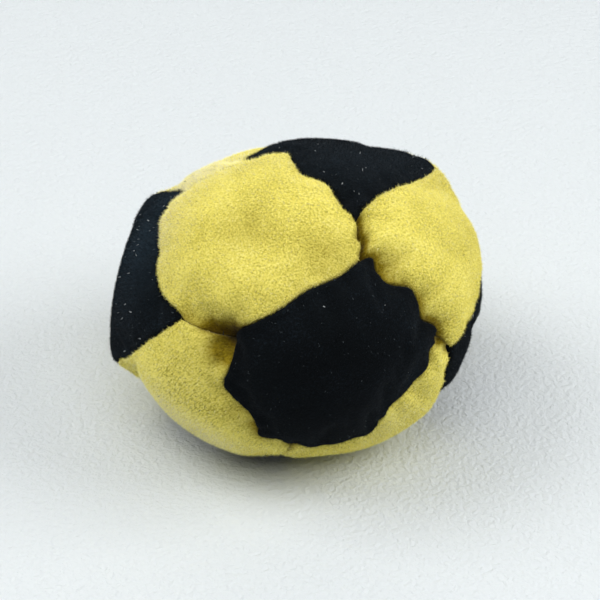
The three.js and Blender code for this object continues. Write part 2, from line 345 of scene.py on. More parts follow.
# %% [markdown]
# Inside its outline the pattern gets an even field of points, joined to triangles by a constrained
# Delaunay triangulation. Every point knows how far it is from each of its panel's seams, which the sewing
# and the colour of the suede both use.

# %% The triangles of a panel
SKIN_SPACING = 0.9
HEM = 0.4
CLEAR_HEM = HEM * 0.6
INSIDE_ONLY = 1
SAME_POINT = 1e-6


def near_outline(points, outline):
    """For each point and each side of the outline, the distance and the share of that side's length."""
    start, step = outline, np.roll(outline, -1, axis=0) - outline
    away = points[:, None] - start
    share = np.clip((away * step).sum(-1) / (step * step).sum(-1), 0, 1)
    return np.linalg.norm(away - step * share[..., None], axis=-1), share


def inside_outline(points, outline):
    start, end = outline, np.roll(outline, -1, axis=0)
    x, y = points[:, :1], points[:, 1:]
    crosses = (start[:, 1] > y) != (end[:, 1] > y)
    rise = np.where(end[:, 1] == start[:, 1], 1, end[:, 1] - start[:, 1])
    at = start[:, 0] + (y - start[:, 1]) / rise * (end[:, 0] - start[:, 0])
    return (crosses & (x < at)).sum(1) % 2 == 1


def filled_pattern(outline, spacing):
    """Points and triangles that fill an outline, with a row of points just inside it.
    The outline's own points come first, in order."""
    low, high = outline.min(0), outline.max(0)
    rows = np.arange(low[1], high[1], spacing * math.sqrt(3) / 2)
    columns = np.arange(low[0], high[0], spacing)
    field = np.array([(x + (row % 2) * spacing / 2, y) for row, y in enumerate(rows) for x in columns])
    field = field[inside_outline(field, outline)]
    field = field[near_outline(field, outline)[0].min(1) > HEM + spacing / 2]
    hem = outline * (1 - HEM / np.linalg.norm(outline, axis=1))[:, None]
    hem = hem[near_outline(hem, outline)[0].min(1) > CLEAR_HEM]
    points = np.concatenate([outline, hem, field])
    loop = list(range(len(outline)))
    corners_2d = [Vector(p) for p in points]
    joined = geometry.delaunay_2d_cdt(corners_2d, [], [loop], INSIDE_ONLY, SAME_POINT)
    _, _, faces, origins, *_ = joined
    source = [group[0] for group in origins]
    triangles = np.array([[source[i] for i in face] for face in faces])
    return points, triangles


pattern_points, pattern_triangles = filled_pattern(panel_outline("upper_front_left")[0], SKIN_SPACING)
print("one hexagon:", len(pattern_points), "points,", len(pattern_triangles), "triangles")

# %% [markdown]
# Sewing draws the suede in at a seam and rounds it over to the crown, deepest at the stitches, with a
# short tuck running in from each of them. How deep it goes differs: the seam between the two upper front
# hexagons is a sharp crease, and others hardly sink at all.

# %% The sewing
SEAM_DEPTH = 1.4
SQUARE_SHOULDER = 4.0
HEXAGON_SHOULDER = 2.2
TUCK_DEPTH = 0.35
TUCK_LENGTH = 2.6
TUCK_START = 0.5
STITCH_PULL = 0.15
CORNER_BLEND = 4
# Millimetres drawn in, at even steps from the seam's start to its end.
SEAM_DEPTHS = {
    "front_to_upper_front_left": (1.6, 1.0, 0.9, 1.0, 3.8),
    "front_to_upper_front_right": (2.8, 2.3, 1.6, 2.1, 2.6),
    "front_to_lower_front_left": (3.8, 1.2, 1.2, 2.2, 2.0),
    "front_to_lower_front_right": (1.5, 1.2, 1.7),
    "top_to_upper_front_left": (0.5, 1.0, 1.6),
    "top_to_upper_front_right": (1.6, 0.8, 0.2),
    "left_to_upper_front_left": (1.6, 1.1, 0.7),
    "left_to_lower_front_left": (0.2, 0.8, 1.6),
    "left_to_upper_back_left": (0.7, 1.0, 1.2),
    "front_and_top": (3.4, 4.2, 3.0),
    "left_and_top": (0.7, 0.4, 0.5),
    "right_and_top": (0.8, 0.4, 0.2),
    "top_to_upper_back_right": (0.2, 0.5, 1.2),
    "left_and_front": (1.4, 1.8, 2.9, 4.6, 5.4),
    "right_and_front": (1.8, 2.6, 3.4),
    "left_and_underside": (0.3, 0.7, 1.4),
}
# Where one panel's edge lies over the next, the lower one comes up slowly from under it, over this many
# millimetres.
TUCKED_UNDER = {
    ("upper_front_right", "front_and_top"): 2.4,
    ("upper_front_left", "left_and_front"): 5.0,
    ("lower_front_right", "right_and_front"): 3.2,
    ("lower_front_left", "front_to_lower_front_left"): 3.5,
    ("lower_front_right", "front_to_lower_front_right"): 2.5,
    ("upper_front_right", "front_to_upper_front_right"): 2.2,
}
# The upper edge rolls over the seam by this many millimetres, most of all this far from it.
ROLL_WIDTH = 0.5
ROLLED_OVER = {
    ("upper_front_left", "front_and_top"): 0.6,
    ("lower_front_left", "left_and_front"): 0.8,
    ("upper_front_right", "right_and_front"): 0.7,
    ("front", "front_to_lower_front_left"): 0.6,
    ("front", "front_to_lower_front_right"): 0.6,
}
# Where the filling has shifted: a place on the round ball, its width and how far it stands out, all in
# millimetres.
LUMPS = (
    (19.5, 13.7, 12.2, 6, 1.8), (25, 9, 8, 11, 0.9), (27.4, 5.1, 4.6, 6, -0.1),
    (28.4, -1.8, -1.6, 3, 0.5), (14.5, 16, 14, 5, 0.9), (-13, 16.5, 14.8, 11, -0.9),
    (-20, 13.5, 12, 10, 0.2), (-27.2, 5.7, 5.1, 6, -0.4), (-28.3, 2.3, 2, 6, -0.8),
    (-21.5, 12.3, 11, 2.5, 1.6), (-24.5, 9.6, 8.6, 4, 0.5), (-22.9, 11.1, 9.9, 2.2, 0.8),
    (-24.2, 9.9, 8.8, 1.8, 0.3), (-27.7, -4.5, -4, 2, 0.4), (-27.1, -5.8, -5.2, 1.8, 0.6),
    (-27.3, -5.5, -5, 4.5, 1.7), (-23.5, -10.5, -9.5, 9, -1.3), (2.5, -18.7, -16.7, 6, -0.9),
    (28.5, 0, 0, 7, -0.1), (27.6, -4.5, -4, 5, -1.2), (-14, -16.5, -14.7, 6, -0.7),
    (-21.6, -12.4, -11, 5, -0.5), (26.5, -7.5, -6.7, 4, -1.7), (5, -16.5, 17.8, 5, -0.8),
    (13.8, -15.2, 15.6, 3, -1.2), (-10.4, -24.2, 8.6, 2.2, -1.4), (20.7, -19.3, 2.5, 1.2, -0.9),
    (-11, -26, 0, 5, -0.6), (-8.5, -20.2, 14.4, 5, 0.9), (-9.8, -23, 10.5, 3.5, -1.0),
    (-7.6, -10.3, 20.1, 5, -0.5), (19.3, -18.3, 8.2, 3, -0.5), (16.4, -23.1, -2.1, 4, -0.6),
    (-12.6, -25, 4.3, 3, 0.4), (-6.5, -27.6, -1.8, 4, -0.4),
)


def sewn_panel(panel, spacing):
    """A panel's points on the ball, their distance from the seams and how far they are drawn in."""
    outline, numbers, lengths = panel_outline(panel)
    flat, triangles = filled_pattern(outline, spacing)
    distance, share = near_outline(flat, outline)
    drawn = np.zeros(len(flat))
    rolled = flat.copy()
    for number, (seam, backwards) in enumerate(panel_seams(panel)):
        own = np.flatnonzero(numbers == number)
        nearest = own[distance[:, own].argmin(1)]
        away = distance[np.arange(len(flat)), nearest]
        along = lengths[nearest]
        whole = np.linalg.norm(np.diff(seams[seam], axis=0), axis=1).sum()
        depths = np.array(SEAM_DEPTHS.get(seam, (SEAM_DEPTH,) * 3))
        depth = np.interp(along / whole, np.linspace(0, 1, len(depths)), depths)
        pitch = whole / max(FEWEST_STITCHES, round(whole / STITCH_PITCH))
        pulled = 0.5 + 0.5 * np.cos(2 * np.pi * along / pitch)
        if (panel, seam) in TUCKED_UNDER:
            risen = np.clip(away / TUCKED_UNDER[panel, seam], 0, 1)
            rounding = 1 - risen**2 * (3 - 2 * risen)
        else:
            shoulder = SQUARE_SHOULDER if panel in SIDES else HEXAGON_SHOULDER
            rounding = 1 - np.sqrt(1 - np.clip(1 - away / shoulder, 0, 1) ** 2)
        tuck = TUCK_DEPTH * pulled**2 * np.exp(-away / TUCK_LENGTH) * (1 - np.exp(-away / TUCK_START))
        from_ends = np.clip(np.minimum(along, whole - along) / (2 * ROLL_WIDTH), 0, 1)
        widths = away / ROLL_WIDTH
        over = ROLLED_OVER.get((panel, seam), 0) * from_ends * widths * np.exp(1 - widths)
        step = np.roll(outline, -1, axis=0)[nearest] - outline[nearest]
        seam_point = outline[nearest] + step * share[np.arange(len(flat)), nearest][:, None]
        rolled += (seam_point - flat) * (over / np.maximum(away, TINY))[:, None]
        held = 1 - STITCH_PULL + STITCH_PULL * pulled
        drawn += (depth * held * rounding + tuck) ** CORNER_BLEND
    drawn = drawn ** (1 / CORNER_BLEND)
    return {
        "flat": flat, "rolled": rolled, "triangles": triangles, "rim": len(outline),
        "seam_distance": distance.min(1), "drawn": drawn,
    }


def nearness(round_points, place, width):
    """One at a place on the ball, and smoothly less away from it."""
    away = np.linalg.norm(round_points - on_ball(np.array(place)), axis=1)
    return np.exp(-((away / width) ** 2))


def skin_places(panel, flat, drawn):
    """Where points of a pattern lie on the bag when they are drawn in by that much."""
    round_points = from_pattern(flat, panel)
    stands_out = -np.array(drawn)
    for *place, width, height in LUMPS:
        stands_out += height * nearness(round_points, place, width)
    return settled(round_points + outwards_at(round_points) * stands_out[:, None])


sewn = {panel: sewn_panel(panel, SKIN_SPACING) for panel in PANELS}
print("skin points:", sum(len(cut["flat"]) for cut in sewn.values()))

# %% [markdown]
# The same kind of list says where the suede is drawn darker and where paler. Darker is partly nap rubbed
# flat in the hollows that fingers press and partly painted shade in creases, pits, dips and on the front
# square; paler is painted sheen along the outer curves.

# %% Rubbed places, painted shade and painted sheen
# A place on the round ball, its width in millimetres and its strength: above zero it darkens, partly as
# rubbed nap and partly as painted shade, and below zero it pales as painted sheen.
RUBBED_SHADED_AND_SHEEN = (
    (4.5, -15.5, 18.5, 5, 0.35), (13.8, -15.2, 15.6, 3, 0.7), (-10.2, -23, 10.5, 3, 0.6),
    (-8, -27.5, -2, 5, 0.35), (13.5, -23, -8.5, 5, -0.3), (18.8, -16.9, 10.4, 1.8, 0.6),
    (20.7, -19.2, 2.6, 1.3, 0.9), (21.3, -17.8, 5, 2.2, 0.6), (-11.2, -24.2, 8.1, 2.3, 1.8),
    (-10.4, -22.9, 10.4, 2.2, 0.5), (-12.5, -23, 8, 5, 0.2), (-7.6, -10.3, 20.1, 5, 0.25),
    (-12.5, 11, 17.5, 7, -0.6), (-19, 8.5, 15, 6, -0.35), (-13, -22, -10, 5, -0.6),
    (-24, -14, -6, 5, -0.3), (-19.5, -19, -6.5, 4, -0.5), (17, 12, 15, 8, -0.1), (6, 5, 22, 8, -0.1),
    (-24, -4, 11, 8, -0.35), (-22, 0, 14, 6, -0.25), (4, -26, 6, 9, 0.5), (8, -26, -2, 8, 0.4),
)
# Where the nap was combed in rows, in the same way.
COMBED = ((-17, -21, -2, 9, 0.75), (17, -21, -4, 7, 0.5))
# Deeper in a seam the suede is darkened, partly as crushed nap and partly as painted shade of the crease.
# It starts at the first of these depths in millimetres and is full at the second, and at the third it
# is darkened a second time, as matted nap and painted shade of a deep crease.
CRUSHED_AND_SHADED_DEPTHS = (0.9, 1.9, 2.9)


def marked(places, round_points):
    left = np.ones(len(round_points))
    for *place, width, strength in places:
        left *= 1 - strength * nearness(round_points, place, width)
    return 1 - left


print("rubbed places:", len(RUBBED_SHADED_AND_SHEEN))

# %% [markdown]
# Filling makes each panel swell between its seams, and the spare suede puckers along them. Those puckers
# could be drawn by hand, but cloth simulation finds them: all the panels together are one cloth, held at
# the seams, a little too large for its place, with pressure inside. The simulation is set up for things a
# metre across, so the bag is scaled up for it. How far a point may move is capped, because the height of
# the crowns is known from the photograph.

# %% The stuffing
CLOTH_SCALE = 20
CLOTH_FRAMES = 20
SPARE_SUEDE = 0.05
PUCKER_LIMIT = 1.2
SEAM_HOLD = 1.3
SLACK = 1.15
CLOTH_SETTINGS = {
    "vertex_group_mass": "sewn", "quality": 6, "mass": 0.3,
    "tension_stiffness": 15, "compression_stiffness": 15, "shear_stiffness": 5, "bending_stiffness": 0.5,
    "use_pressure": True, "uniform_pressure_force": 4, "shrink_min": -SPARE_SUEDE,
}


def link_object(name, data):
    made = bpy.data.objects.new(name, data)
    scene.collection.objects.link(made)
    return made


def stuffed(places):
    """The panels' places after the cloth simulation."""
    starts = np.cumsum([0, *(len(points) for points in places.values())])
    points = np.concatenate(list(places.values())) * MM * CLOTH_SCALE
    faces = np.concatenate([sewn[panel]["triangles"] + start for panel, start in zip(places, starts)])
    rims = np.concatenate([np.arange(sewn[panel]["rim"]) + start for panel, start in zip(places, starts)])
    mesh = bpy.data.meshes.new("stuffing")
    mesh.from_pydata(points.tolist(), [], faces.tolist())
    bag = link_object("stuffing", mesh)
    bag.vertex_groups.new(name="sewn").add(rims.tolist(), 1.0, "REPLACE")
    cloth = bag.modifiers.new("cloth", "CLOTH")
    for name, value in CLOTH_SETTINGS.items():
        setattr(cloth.settings, name, value)
    cloth.settings.effector_weights.gravity = 0
    cloth.point_cache.frame_start, cloth.point_cache.frame_end = 1, CLOTH_FRAMES
    for number in range(1, CLOTH_FRAMES + 1):
        scene.frame_set(number)
    result = bag.evaluated_get(bpy.context.evaluated_depsgraph_get()).to_mesh()
    moved = np.zeros(len(points) * 3)
    result.vertices.foreach_get("co", moved)
    bpy.data.objects.remove(bag)
    scene.frame_set(1)
    shift = (moved.reshape(-1, 3) - points) / MM / CLOTH_SCALE
    length = np.linalg.norm(shift, axis=1, keepdims=True)
    print(f"cloth moved by up to {length.max():.2f} mm, on average {length.mean():.2f}")
    shift *= np.minimum(1, PUCKER_LIMIT / np.maximum(length, TINY))
    from_seam = np.concatenate([sewn[panel]["seam_distance"] for panel in places])
    shift *= 1 - np.exp(-((from_seam / SEAM_HOLD) ** 2))[:, None]
    ends = points / MM / CLOTH_SCALE + shift
    ends[:, 2] = np.maximum(ends[:, 2], 0)
    return {panel: ends[start:end] for panel, start, end in zip(places, starts, starts[1:])}


slack = SLACK
empty_skin = {}
for panel, cut in sewn.items():
    hangs = slack * (1 - np.exp(-((cut["seam_distance"] / SEAM_HOLD) ** 2)))
    empty_skin[panel] = skin_places(panel, cut["rolled"], cut["drawn"] + hangs)
skin = stuffed(empty_skin)

# %% [markdown]
# The finished panel is a closed skin about a millimetre thick. Its outside ends at the seams, where the
# suede turns in to the seam allowance, and a coarser inside closes it. Points, faces, the flat pattern as
# a UV map and the distance from the seams all go on the mesh.

# %% The panels as meshes
SUEDE_THICKNESS = 1.0
SEAM_ALLOWANCE = 2.6
LINING_SPACING = 2.5
BRUSH_STEP = 0.1
ROW_ANGLE = math.radians(58)
NAP_DIRECTION = -np.array([math.cos(ROW_ANGLE), math.sin(ROW_ANGLE)])


def panel_mesh(panel, outside):
    """A closed mesh from the places of the outside's points."""
    cut = sewn[panel]
    rim = cut["rim"]
    outline = cut["flat"][:rim]
    shrink = 1 - SUEDE_THICKNESS / np.linalg.norm(outline, axis=1)
    lining_outline = outline * shrink[:, None]
    lining_flat, lining_triangles = filled_pattern(lining_outline, LINING_SPACING)
    rim_drawn = cut["drawn"][:rim]
    nearest = np.linalg.norm(lining_flat[:, None] - cut["flat"], axis=-1).argmin(1)
    lining_drawn = cut["drawn"][nearest] + slack
    rings = [
        skin_places(panel, outline, rim_drawn + SEAM_ALLOWANCE / 2),
        skin_places(panel, outline, rim_drawn + SEAM_ALLOWANCE),
        skin_places(panel, lining_outline, rim_drawn + SEAM_ALLOWANCE),
    ]
    lining = skin_places(panel, lining_flat, lining_drawn + SUEDE_THICKNESS)
    points = np.concatenate([outside, *rings, lining])
    loops = [np.arange(rim) + len(outside) + rim * number for number in range(len(rings) + 1)]
    loops.insert(0, np.arange(rim))
    walls = []
    for upper, lower in zip(loops, loops[1:]):
        walls += [(upper[i - 1], lower[i - 1], lower[i], upper[i]) for i in range(rim)]
    lining_faces = (lining_triangles + len(outside) + rim * len(rings))[:, ::-1]
    faces = [*cut["triangles"].tolist(), *walls, *lining_faces.tolist()]
    mesh = bpy.data.meshes.new(panel)
    mesh.from_pydata((points * MM).tolist(), [], [[int(i) for i in face] for face in faces])
    flat = np.concatenate([cut["flat"], outline, outline, lining_outline, lining_flat])
    cut_map = mesh.uv_layers.new(name="cut")
    corner_points = np.zeros(len(mesh.loops), np.int32)
    mesh.loops.foreach_get("vertex_index", corner_points)
    cut_map.uv.foreach_set("vector", flat[corner_points].astype(np.float32).ravel())
    from_seam = np.zeros(len(points), np.float32)
    from_seam[: len(outside)] = cut["seam_distance"]
    round_points = from_pattern(flat, panel)
    rubbed = marked(RUBBED_SHADED_AND_SHEEN, round_points)
    # Deep seams add to the mark: partly crushed nap, partly painted shade of the crease.
    crushed_and_shaded = np.interp(cut["drawn"], CRUSHED_AND_SHADED_DEPTHS, (0, 1, 2))
    rubbed[: len(outside)] = rubbed[: len(outside)] * (1 - np.minimum(crushed_and_shaded, 1)) + crushed_and_shaded
    marks = {"seam_distance": from_seam, "rubbed": rubbed, "combed": marked(COMBED, round_points)}
    for mark, values in marks.items():
        mesh.attributes.new(mark, "FLOAT", "POINT").data.foreach_set("value", values.astype(np.float32))
    brushed = from_pattern(flat + NAP_DIRECTION * BRUSH_STEP, panel) - round_points
    lie_of_nap = unit(brushed).astype(np.float32).ravel()
    mesh.attributes.new("nap_lie", "FLOAT_VECTOR", "POINT").data.foreach_set("vector", lie_of_nap)
    mesh.polygons.foreach_set("use_smooth", np.ones(len(mesh.polygons), bool))
    return mesh


def finished_mesh(piece):
    evaluated = piece.evaluated_get(bpy.context.evaluated_depsgraph_get())
    return bpy.data.meshes.new_from_object(evaluated)


def panel_colour(panel):
    return "black" if panel in SIDES else "yellow"


panel_objects = {}
for panel, outside in skin.items():
    piece = link_object(f"{panel_colour(panel)}_suede_{panel}", panel_mesh(panel, outside))
    finer = piece.modifiers.new("finer", "SUBSURF")
    finer.levels = finer.render_levels = 1
    smoothed = finished_mesh(piece)
    piece.modifiers.clear()
    piece.data = smoothed
    panel_objects[panel] = piece
    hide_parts(f"{panel_colour(panel)}_panel_{panel}")
    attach(piece, "root")
print("panels:", len(panel_objects), "faces:", sum(len(p.data.polygons) for p in panel_objects.values()))

# %% [markdown]
# Materials are node trees. One small function fills a node's inputs: each gets a value, or a link from the
# node or socket that is given for it. Another adds a node with its inputs and settings, and a third turns
# the hex colours that painters use to the linear light that Blender computes in.

# %% Helpers for materials
def linear(hex_colour):
    channels = [int(hex_colour[i:i + 2], 16) / 255 for i in (1, 3, 5)]
    return (*(c / 12.92 if c < 0.04045 else ((c + 0.055) / 1.055) ** 2.4 for c in channels), 1)


def set_inputs(tree, node, inputs):
    for socket, value in inputs.items():
        source = value.outputs[0] if isinstance(value, bpy.types.Node) else value
        if isinstance(source, bpy.types.NodeSocket):
            tree.links.new(source, node.inputs[socket])
        else:
            node.inputs[socket].default_value = source


def add_node(tree, kind, inputs=(), **settings):
    made = tree.nodes.new(kind)
    for name, value in settings.items():
        setattr(made, name, value)
    set_inputs(tree, made, dict(inputs))
    return made


def new_finish(name):
    finish = bpy.data.materials.new(name)
    finish.use_nodes = True
    return finish, finish.node_tree, finish.node_tree.nodes["Principled BSDF"]


print("linear light of a middle grey:", round(linear("#808080")[0], 3))

# %% [markdown]
# Synthetic suede is a felt of very fine fibres, brushed up to a short nap. It scatters light at every
# depth, so it has no gloss, but its fibre tips glow at a glancing angle, which is sheen. Brushing leaves
# the nap lying in streaks and patches. Close to the seams a darker colour is mixed in as painted shade.

# %% Suede
# Sizes on the flat pattern in millimetres. Clumps and rows are coarser than real ones, which wouldn't show.
CLUMP_SIZE = 0.35
ROW_SIZE = 0.42
ROW_STRETCH = (0.45, 1.8, 1)
PATCH_SIZE = 9
FURROW_RANGE = {"From Min": 0.5, "From Max": 0.66, "To Min": -0.3, "To Max": 0.7}
# How much each pattern adds to the tone, and where the tone starts.
CLUMP_TONE, CLUMP_START = 0.9, 0.18
FURROW_TONE = -0.3
PATCH_TONE, PATCH_START = 0.5, -0.45
TONE_STOPS = (0.25, 0.5, 0.8)
SEAM_SHADE_RANGE = {"From Min": 0.8, "From Max": 0.0, "To Min": 0, "To Max": 0.3}
NAP_RELIEF = 0.2 * MM


def row_furrows(tree, pattern, combed):
    """Where combed nap parts: noise on the flat pattern, stretched along the rows."""
    add = partial(add_node, tree)
    turned = add("ShaderNodeVectorRotate", {"Vector": pattern, "Angle": -ROW_ANGLE},
                 rotation_type="Z_AXIS")
    rows = add("ShaderNodeVectorMath", {0: turned, 1: ROW_STRETCH}, operation="MULTIPLY")
    streaks = add("ShaderNodeTexNoise", {"Vector": rows, "Scale": 1 / ROW_SIZE, "Detail": 0})
    furrows = add("ShaderNodeMapRange", {"Value": streaks, **FURROW_RANGE},
                  interpolation_type="SMOOTHSTEP")
    return add("ShaderNodeMath", {0: furrows, 1: combed}, operation="MULTIPLY")


def suede(name, deep, body, pale, sheen_pale, seam_shade, rubbed, glow, sheen, shine):
    """Dull, finely mottled felt: darker where rubbed and with painted shade in creases and along the seams,
    and paler where painted sheen lies on the outer curves.
    """
    finish, tree, shader = new_finish(name)
    add = partial(add_node, tree)
    cut_map = add("ShaderNodeUVMap", uv_map="cut")
    # The rubbed mark read here holds rubbing, painted shade and painted sheen.
    combed, pressed, from_seam = (
        add("ShaderNodeAttribute", attribute_name=mark).outputs["Fac"]
        for mark in ("combed", "rubbed", "seam_distance")
    )
    grain, patches = (
        add("ShaderNodeTexNoise",
            {"Vector": cut_map, "Scale": 1 / size, "Detail": detail, "Roughness": 0.6})
        for size, detail in ((CLUMP_SIZE, 2), (PATCH_SIZE, 3))
    )
    parted = row_furrows(tree, cut_map, combed)
    even = add("ShaderNodeMath", {0: grain, 1: CLUMP_TONE, 2: CLUMP_START}, operation="MULTIPLY_ADD")
    fine = add("ShaderNodeMath", {0: parted, 1: FURROW_TONE, 2: even}, operation="MULTIPLY_ADD")
    coarse = add("ShaderNodeMath", {0: patches, 1: PATCH_TONE, 2: PATCH_START}, operation="MULTIPLY_ADD")
    lay = add("ShaderNodeMath", {0: fine, 1: coarse}, operation="ADD")
    tone = add("ShaderNodeValToRGB", {"Fac": lay})
    stops = tone.color_ramp.elements
    stops[0].position, stops[0].color = TONE_STOPS[0], linear(deep)
    stops[1].position, stops[1].color = TONE_STOPS[2], linear(pale)
    stops.new(TONE_STOPS[1]).color = linear(body)
    # Over one the mark darkens a second time, as matted nap and painted shade in deep creases and pits.
    matted_and_shaded = add("ShaderNodeMath", {0: pressed, 1: 1.0}, operation="SUBTRACT", use_clamp=True)
    # Below zero the mark is painted sheen, mixed in as a pale colour.
    painted_sheen = add("ShaderNodeMath", {0: pressed, 1: -1.0}, operation="MULTIPLY", use_clamp=True)
    # Within 0.8 mm of a seam a darker colour is mixed in, which is painted shade of the seam.
    seam_shaded = add("ShaderNodeMapRange", {"Value": from_seam, **SEAM_SHADE_RANGE},
                  interpolation_type="SMOOTHSTEP")
    colour = tone.outputs["Color"]
    layers = (
        (pressed, rubbed, "MULTIPLY"), (matted_and_shaded, rubbed, "MULTIPLY"),
        (painted_sheen, sheen_pale, "MIX"), (seam_shaded, seam_shade, "MIX"),
    )
    for share, over, blend in layers:
        colour = add("ShaderNodeMix", {"Factor": share, "A": colour, "B": linear(over)}, data_type="RGBA",
                     blend_type=blend).outputs["Result"]
    relief = add("ShaderNodeBump", {"Height": fine, "Strength": 1.0, "Distance": NAP_RELIEF})
    set_inputs(tree, shader, {
        "Base Color": colour, "Normal": relief, "Roughness": 0.95, "Specular IOR Level": shine,
        "Sheen Weight": sheen, "Sheen Roughness": 0.5, "Sheen Tint": linear(glow),
    })
    return finish


# In each suede the fourth colour is painted sheen, the fifth is painted shade along the seams, and the
# sixth is multiplied in for rubbing and for painted shade in creases and pits.
yellow_suede = suede(
    "yellow synthetic suede", deep="#A59935", body="#E9DD6C", pale="#FEF7AA", sheen_pale="#E4DDB8",
    seam_shade="#7A681E", rubbed="#A09240", glow="#FFFBE6", sheen=0.12, shine=0.1,
)
black_suede = suede(
    "black synthetic suede", deep="#06090B", body="#0C1013", pale="#202A32", sheen_pale="#2A3842",
    seam_shade="#080A0C", rubbed="#808080", glow="#C8D8E8", sheen=0.04, shine=0.05,
)
for panel, piece in panel_objects.items():
    piece.data.materials.append(black_suede if panel in SIDES else yellow_suede)
print("suede on", len(panel_objects), "panels")

# %% [markdown]
# The nap shows as a fine speckle and as fuzz along every edge. Hair would do it in a render, but hair is
# lost when the bag goes out as a mesh. Geometry Nodes scatter thin three-sided fibres over each panel
# instead, leaning the way the suede was brushed. A fibre is too thin to carry a pattern, so each takes
# one of four shades: pale, plain and dark dye, and a paler one that is painted sheen.

# %% Fibre shades
def fibre_shades(stuff, colours, glow, sheen):
    """Dull finishes for fibres of painted sheen, then pale, plain and dark ones, with a soft glow at the
    rim.
    """
    made = []
    for shade, colour in colours.items():
        finish, tree, shader = new_finish(f"{shade} {stuff}")
        set_inputs(tree, shader, {
            "Base Color": linear(colour), "Roughness": 0.9, "Specular IOR Level": 0.1,
            "Sheen Weight": sheen, "Sheen Tint": linear(glow),
        })
        made.append(finish)
    return made


# The first shade of each is painted sheen, for fibres where the list paints sheen.
YELLOW_SHADES = {"sheen_pale": "#EAE4BE", "pale": "#FEF8B0", "plain": "#F3E97B", "dark": "#AA9D35"}
BLACK_SHADES = {"sheen_pale": "#26343D", "pale": "#1A232A", "plain": "#0D1114", "dark": "#07090B"}
yellow_fibres = fibre_shades("yellow suede fibre", YELLOW_SHADES, "#FFFBE6", 0.3)
black_fibres = fibre_shades("black suede fibre", BLACK_SHADES, "#C8D8E8", 0.03)
print("fibre shades:", len(yellow_fibres) + len(black_fibres))

# %% [markdown]
# The tree plants a fibre at each point that it scatters. Fibres keep off the seam itself and the table, and
# thin out where the suede is rubbed and where painted shade darkens it. A number for the dye, from chance,
# clumps, rows, rubbing, painted shade and painted sheen, sets a fibre's shade and its length: pale ones are
# long and dark ones short.

# %% The nap's node tree
BARE_RIM = {"From Min": 0.0, "From Max": 0.1}
OFF_TABLE = {"From Min": 0.75 * MM, "From Max": 1.2 * MM}
RUBBED_AND_SHADED_BARE = {"From Min": 1.5, "From Max": 0.6}
FRAYED_RIM = {"From Max": 1.0, "To Min": 1.35, "To Max": 1.0}
DYE_LENGTHS = {"To Min": 1.4, "To Max": 0.6}
STRAY_LEAN = 0.9
BRUSHED_LEAN = 0.5
UPRIGHTNESS = 0.7
CHANCE_DYE = 0.5
CLUMP_DYE, CLUMP_DYE_START = 1.9, -0.7
ROW_DYE = 0.5
RUBBED_SHADED_SHEEN_DYE = 0.8
LEAN_SEED = 3
DYE_SEED = 7
# Fibres are plain, unless their number for dye, painted shade and painted sheen passes one of these limits.
# Later lines go over earlier ones, and the last is reached only where painted sheen lowers the number.
SHADE_LIMITS = (
    ("Pale", "LESS_THAN", 0.25), ("Dark", "GREATER_THAN", 0.75), ("Sheen_pale", "LESS_THAN", -0.05),
)
NAP_INPUTS = {
    "Panel": "Geometry", "Fibres per square metre": "Float", "Length": "Float", "Width": "Float",
    "Seed": "Int", "Sheen_pale": "Material", "Pale": "Material", "Plain": "Material", "Dark": "Material",
}


